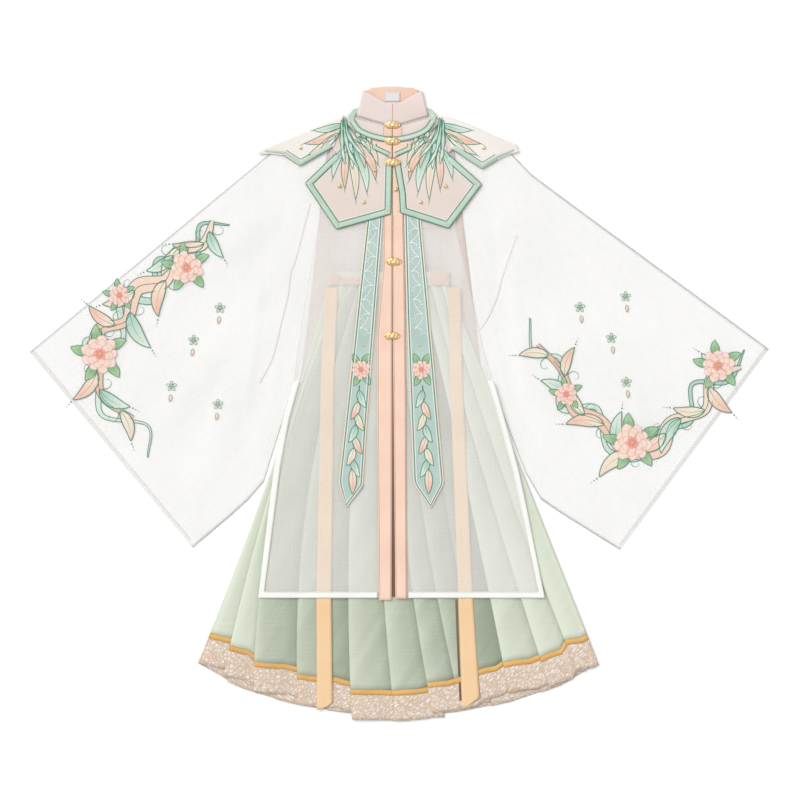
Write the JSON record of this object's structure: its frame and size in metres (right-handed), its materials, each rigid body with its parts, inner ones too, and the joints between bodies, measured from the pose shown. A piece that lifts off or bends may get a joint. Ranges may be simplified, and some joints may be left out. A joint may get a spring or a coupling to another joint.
{
  "type": "hanfu dress",
  "caption": "Sheer hanfu jacket with wide sleeves, stand collar and cloud collar over a pleated skirt, laid flat with its front up.",
  "frame": {"origin": "middle of the garment's footprint, on the surface it lies on", "axes": "+Z away from the surface, through the wearer's front; +Y towards the collar; +X towards the wearer's left"},
  "size_m": [1.6622, 1.427, 0.0182],
  "materials": {
    "jacket_back": "matte",
    "front_left": "matte",
    "front_right": "matte",
    "sleeve_left": "matte",
    "sleeve_right": "matte",
    "edge_binding_left": "matte",
    "edge_binding_right": "matte",
    "placket_left": "matte",
    "placket_right": "matte",
    "tie_left": "matte",
    "tie_right": "matte",
    "stand_collar": "matte",
    "collar_lining": "matte",
    "neck_label": "matte",
    "cloud_back": "matte",
    "cloud_front_left": "matte",
    "cloud_front_right": "matte",
    "cloud_shoulder_left": "matte",
    "cloud_shoulder_right": "matte",
    "cloud_tab_left": "matte",
    "cloud_tab_right": "matte",
    "neck_ring": "satin",
    "piping_front_left": "satin",
    "piping_front_right": "satin",
    "piping_shoulder_left": "satin",
    "piping_shoulder_right": "satin",
    "piping_tab_left": "satin",
    "piping_tab_right": "satin",
    "skirt_cloth": "matte",
    "skirt_gold_band": "satin",
    "skirt_border": "matte",
    "skirt_waistband": "matte",
    "sash": "matte",
    "knot_left": "matte",
    "knot_right": "matte",
    "ribbon_left": "satin",
    "ribbon_right": "satin",
    "clasp_metal": "polished"
  },
  "bodies": {
    "root": {"jacket_back": "jacket_back", "front_left": "front_left", "front_right": "front_right", "sleeve_left": "sleeve_left", "sleeve_right": "sleeve_right", "edge_binding_left": "edge_binding_left", "edge_binding_right": "edge_binding_right", "placket_left": "placket_left", "placket_right": "placket_right", "tie_left": "tie_left", "tie_right": "tie_right", "stand_collar": "stand_collar", "collar_lining": "collar_lining", "neck_label": "neck_label", "cloud_back": "cloud_back", "cloud_front_left": "cloud_front_left", "cloud_front_right": "cloud_front_right", "cloud_shoulder_left": "cloud_shoulder_left", "cloud_shoulder_right": "cloud_shoulder_right", "cloud_tab_left": "cloud_tab_left", "cloud_tab_right": "cloud_tab_right", "neck_ring": "neck_ring", "piping_front_left": "piping_front_left", "piping_front_right": "piping_front_right", "piping_shoulder_left": "piping_shoulder_left", "piping_shoulder_right": "piping_shoulder_right", "piping_tab_left": "piping_tab_left", "piping_tab_right": "piping_tab_right", "skirt_cloth": "skirt_cloth", "skirt_gold_band": "skirt_gold_band", "skirt_border": "skirt_border", "skirt_waistband": "skirt_waistband", "sash": "sash", "knot_left": "knot_left", "knot_right": "knot_right", "ribbon_left": "ribbon_left", "ribbon_right": "ribbon_right", "clasp_collar_left": "clasp_metal", "clasp_collar_right": "clasp_metal", "clasp_neck_left": "clasp_metal", "clasp_neck_right": "clasp_metal", "clasp_tab_left": "clasp_metal", "clasp_tab_right": "clasp_metal", "clasp_chest_left": "clasp_metal", "clasp_chest_right": "clasp_metal", "clasp_waist_left": "clasp_metal", "clasp_waist_right": "clasp_metal", "clasp_stone": "clasp_metal"}
  },
  "joints": []
}
